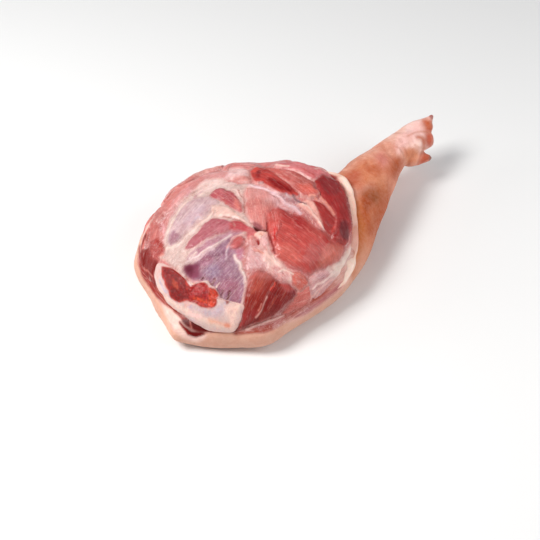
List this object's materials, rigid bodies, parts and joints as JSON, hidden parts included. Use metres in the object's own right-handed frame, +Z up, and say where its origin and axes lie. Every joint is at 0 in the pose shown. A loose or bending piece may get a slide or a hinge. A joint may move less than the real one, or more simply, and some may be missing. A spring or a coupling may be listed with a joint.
{
  "type": "raw pork shoulder",
  "caption": "Raw whole pork shoulder with shank and foot, skin side down, showing the cut muscles, the fat edge and the cut end of the blade bone.",
  "frame": {"origin": "middle of the flat patch of skin that the joint rests on", "axes": "+X from the butt end towards the foot, +Z up out of the cut face, +Y to the far side"},
  "size_m": [0.523, 0.2701, 0.1257],
  "materials": {
    "flesh_and_skin": "moist raw meat with silvery membrane, white fat and orange-tan skin",
    "bone": "wet white cartilage round red marrow"
  },
  "bodies": {
    "root": {"pork_shoulder": "flesh_and_skin", "blade_bone": "bone"}
  },
  "joints": []
}
